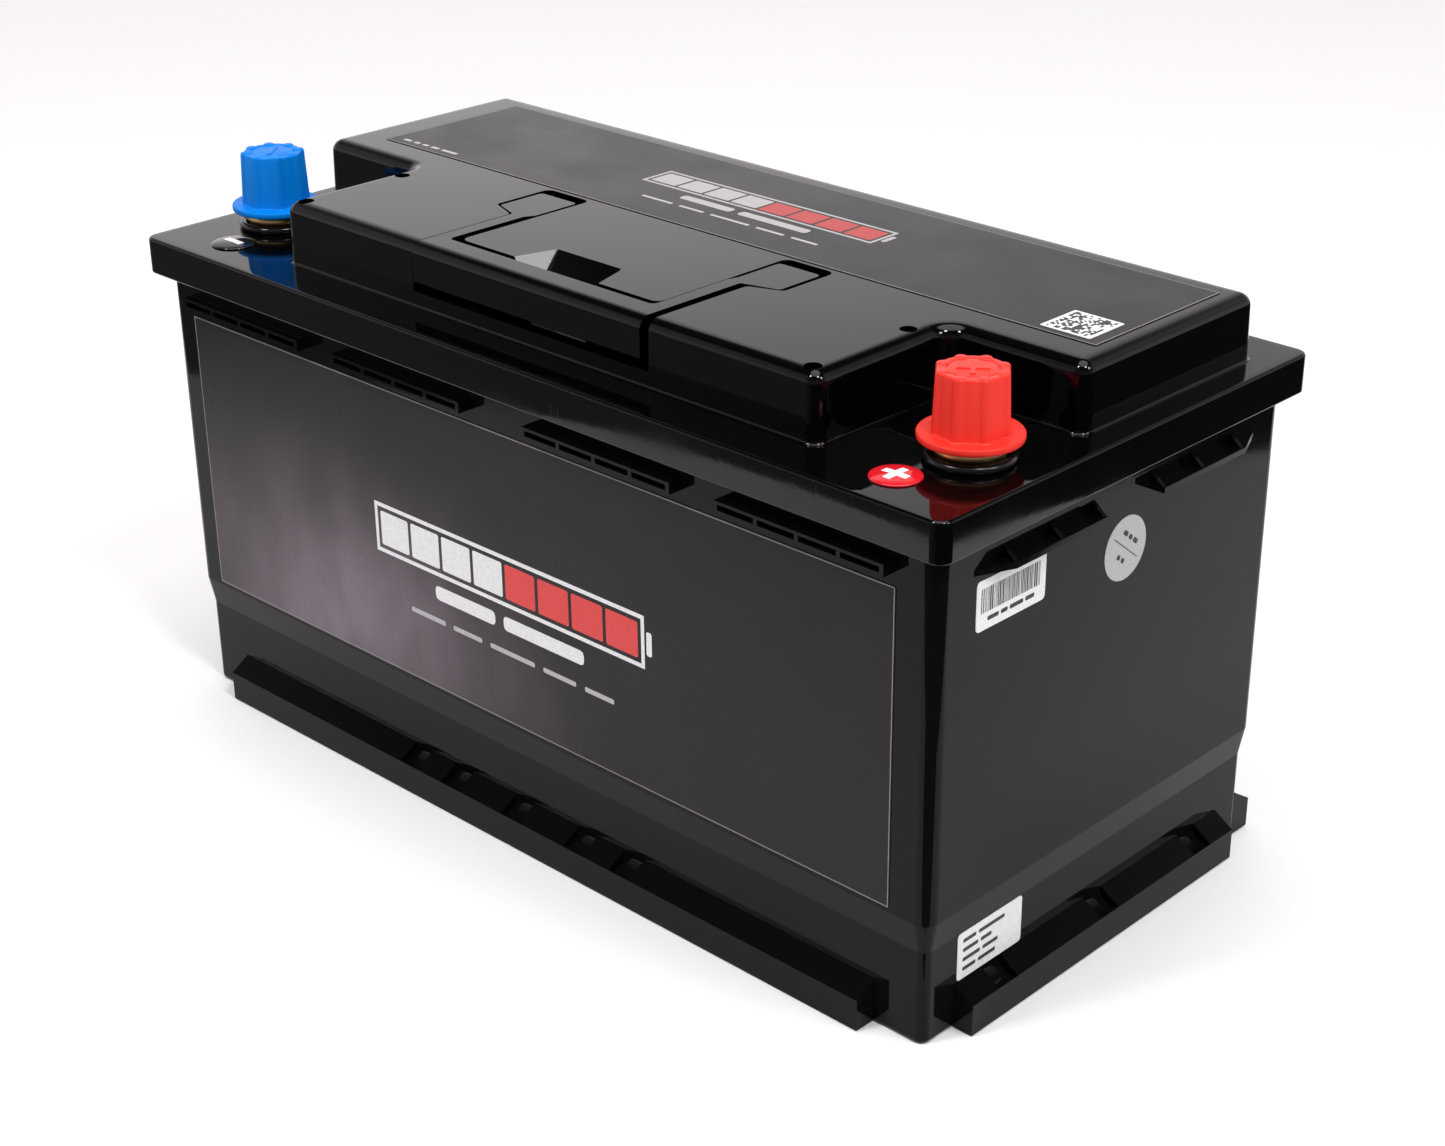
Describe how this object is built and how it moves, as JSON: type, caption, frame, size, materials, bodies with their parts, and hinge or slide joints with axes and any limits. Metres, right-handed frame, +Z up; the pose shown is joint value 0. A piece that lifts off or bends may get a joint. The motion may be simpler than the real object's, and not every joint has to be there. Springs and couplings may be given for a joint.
{
  "type": "drop-in lithium battery",
  "caption": "Black monobloc storage battery with a stepped lid, folding carry handle, capped tapered terminals and foot ledges; prismatic cells and a management board inside.",
  "frame": {"origin": "centre of the base, on the surface the battery stands on", "axes": "+X along the length towards the positive terminal's end, -Y towards the long side with the terminals and the handle bar, +Z up"},
  "size_m": [0.353, 0.175, 0.1955],
  "materials": {
    "case_black": "gloss black ABS, fine scratches",
    "handle_black": "gloss black, slightly softer",
    "steel": "zinc plated",
    "terminal_brass": "turned brass",
    "seal_rubber": "glossy black rubber",
    "cap_red": "moulded red plastic",
    "cap_blue": "moulded blue plastic",
    "front_film": "printed satin film",
    "top_film": "printed satin film",
    "sticker_red": "printed film",
    "sticker_black": "printed film",
    "sticker_white": "printed paper film",
    "sticker_silver": "silver film",
    "cell_wrap": "blue film over an aluminium can",
    "aluminium": "milled",
    "copper": "plain copper",
    "insulation": "glass-epoxy sheet",
    "strap_film": "strapping band",
    "foam": "closed-cell foam",
    "tray_plastic": "moulded nylon",
    "circuit_green": "solder mask",
    "chip_black": "moulded epoxy",
    "connector_white": "moulded nylon",
    "wire_red": "silicone insulation",
    "wire_black": "silicone insulation"
  },
  "bodies": {
    "battery": {"case_tub": "case_black", "lid": "case_black", "handle_pin_left": "steel", "handle_pin_right": "steel", "positive_post": "terminal_brass", "negative_post": "terminal_brass", "positive_seal": "seal_rubber", "negative_seal": "seal_rubber", "front_label": "front_film", "top_label": "top_film", "plus_sticker": "sticker_red", "minus_sticker": "sticker_black", "barcode_sticker": "sticker_white", "round_sticker": "sticker_silver", "rating_sticker": "sticker_white", "square_code_sticker": "sticker_white", "cell_1": "cell_wrap", "cell_2": "cell_wrap", "cell_3": "cell_wrap", "cell_4": "cell_wrap", "cell_terminals": "aluminium", "cell_vents": "aluminium", "cell_studs": "steel", "stud_washers": "steel", "stud_nuts": "steel", "busbar_left": "copper", "busbar_rear": "copper", "busbar_right": "copper", "row_separator": "insulation", "column_separator": "insulation", "strap_lower": "strap_film", "strap_upper": "strap_film", "foam_base": "foam", "foam_front": "foam", "foam_rear": "foam", "foam_left": "foam", "foam_right": "foam", "bms_tray": "tray_plastic", "bms_board": "circuit_green", "bms_transistors": "chip_black", "bms_heat_sink": "aluminium", "bms_connector": "connector_white", "bms_screws": "steel", "balance_wires": "wire_red", "temperature_probe": "wire_black", "positive_cable": "wire_red", "cell_negative_cable": "wire_black", "output_negative_cable": "wire_black", "cable_lugs": "steel", "terminal_nuts": "steel"},
    "handle": {"carry_handle": "handle_black"},
    "positive_cap": {"red_cap": "cap_red"},
    "negative_cap": {"blue_cap": "cap_blue"}
  },
  "joints": [
    {"name": "handle_hinge", "type": "hinge", "parent": "battery", "child": "handle", "pos_m": [0, -0.0125, 0.183], "axis": [-1, 0, 0], "range_deg": [0, 90]},
    {"name": "positive_cap_lift", "type": "slide", "parent": "battery", "child": "positive_cap", "axis": [0, 0, 1], "range_m": [0, 0.03]},
    {"name": "negative_cap_lift", "type": "slide", "parent": "battery", "child": "negative_cap", "axis": [0, 0, 1], "range_m": [0, 0.03]}
  ]
}
